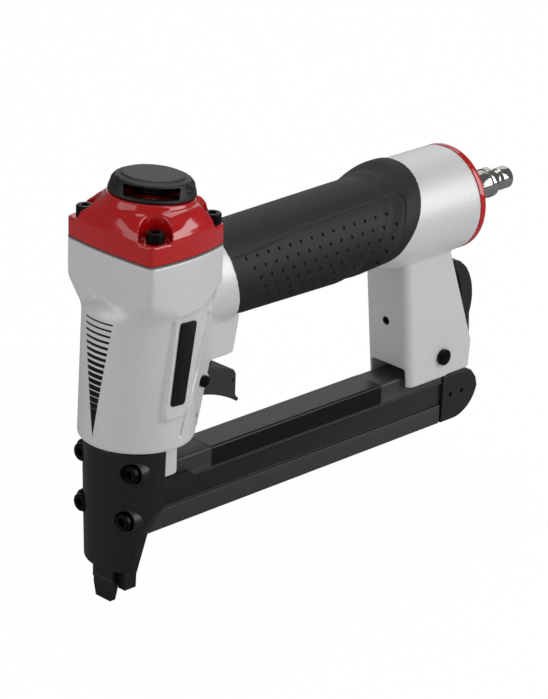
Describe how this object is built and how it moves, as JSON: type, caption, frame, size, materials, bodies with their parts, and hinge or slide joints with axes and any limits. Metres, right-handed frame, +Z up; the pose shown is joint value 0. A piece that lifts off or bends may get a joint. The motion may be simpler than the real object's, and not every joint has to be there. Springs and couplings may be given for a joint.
{
  "type": "pneumatic stapler",
  "caption": "Hand-held air stapler: cast body with padded handle, capped cylinder with turning exhaust hood, finger trigger, nose and bottom magazine with sliding drawer and rear latch.",
  "frame": {"origin": "on the work surface, at the foot of the nose, under the driver's outlet and on the middle plane", "axes": "+X runs to the rear along the magazine and handle, +Z up along the driver, Y across"},
  "size_m": [0.2288, 0.0494, 0.1692],
  "materials": {
    "silver_paint": "satin",
    "red_paint": "gloss",
    "black_metal": "satin",
    "black_plastic": "satin",
    "trigger_plastic": "matte",
    "grip_rubber": "matte",
    "seal_rubber": "matte",
    "label_film": "satin",
    "badge_metal": "satin",
    "plated_steel": "polished",
    "screw_steel": "satin",
    "pin_steel": "satin",
    "spring_steel": "satin",
    "bare_aluminium": "satin",
    "valve_brass": "satin"
  },
  "bodies": {
    "body": {"body_casting": "silver_paint", "cylinder_cap": "red_paint", "inlet_cap": "red_paint", "front_plate": "black_metal", "nose_block": "black_metal", "nose_tongue": "black_metal", "magazine_rail": "black_metal", "grip_sleeve": "grip_rubber", "bumper": "seal_rubber", "cap_gasket": "seal_rubber", "inlet_seal": "seal_rubber", "valve_seals": "seal_rubber", "rail_label": "label_film", "badge_plates": "badge_metal", "air_plug": "plated_steel", "cap_screws": "screw_steel", "front_plate_screws": "screw_steel", "trigger_pin": "pin_steel", "trigger_pin_clip": "pin_steel", "latch_pin": "pin_steel", "latch_pin_clip": "pin_steel", "latch_spacers": "pin_steel", "rail_rivets": "pin_steel", "valve_spring": "spring_steel", "latch_spring": "spring_steel", "cylinder_sleeve": "bare_aluminium", "valve_body": "valve_brass"},
    "piston": {"piston": "bare_aluminium", "piston_ring": "seal_rubber", "driver_blade": "pin_steel", "driver_pin": "pin_steel"},
    "deflector": {"exhaust_deflector": "black_plastic", "deflector_bolt": "screw_steel"},
    "trigger": {"trigger": "trigger_plastic"},
    "valve_stem": {"valve_stem": "pin_steel"},
    "drawer": {"magazine_cover": "black_metal", "staple_core": "bare_aluminium", "magazine_end_cap": "black_plastic", "end_cap_pins": "pin_steel", "guide_rod": "pin_steel", "pusher_spring": "spring_steel"},
    "pusher": {"pusher": "pin_steel"},
    "latch": {"latch_lever": "black_plastic"}
  },
  "joints": [
    {"name": "trigger_pull", "type": "hinge", "parent": "body", "child": "trigger", "pos_m": [0.038, 0, 0.0842], "axis": [0, -1, 0], "range_deg": [0, 8], "stiffness_Nm_per_rad": 0.8, "springref_deg": -5.73},
    {"name": "valve_lift", "type": "slide", "parent": "body", "child": "valve_stem", "axis": [0, 0, 1], "range_m": [0, 0.0022], "deforming": ["valve_spring"]},
    {"name": "piston_stroke", "type": "slide", "parent": "body", "child": "piston", "axis": [0, 0, -1], "range_m": [0, 0.043]},
    {"name": "deflector_turn", "type": "hinge", "parent": "body", "child": "deflector", "pos_m": [0.021, 0, 0.1605], "axis": [0.0872, 0, 0.9962], "continuous": true},
    {"name": "drawer_slide", "type": "slide", "parent": "body", "child": "drawer", "axis": [1, 0, 0], "range_m": [0, 0.11]},
    {"name": "pusher_slide", "type": "slide", "parent": "drawer", "child": "pusher", "axis": [1, 0, 0], "range_m": [0, 0.1], "stiffness_N_per_m": 40, "springref_m": -0.08, "deforming": ["pusher_spring"]},
    {"name": "latch_press", "type": "hinge", "parent": "body", "child": "latch", "pos_m": [0.1746, 0, 0.0577], "axis": [0, -1, 0], "range_deg": [0, 7], "stiffness_Nm_per_rad": 1.2, "springref_deg": -5.73, "deforming": ["latch_spring"]}
  ],
  "couplings": [
    {"joint": "valve_lift", "follows": "trigger_pull", "m_per_rad": 0.015}
  ]
}
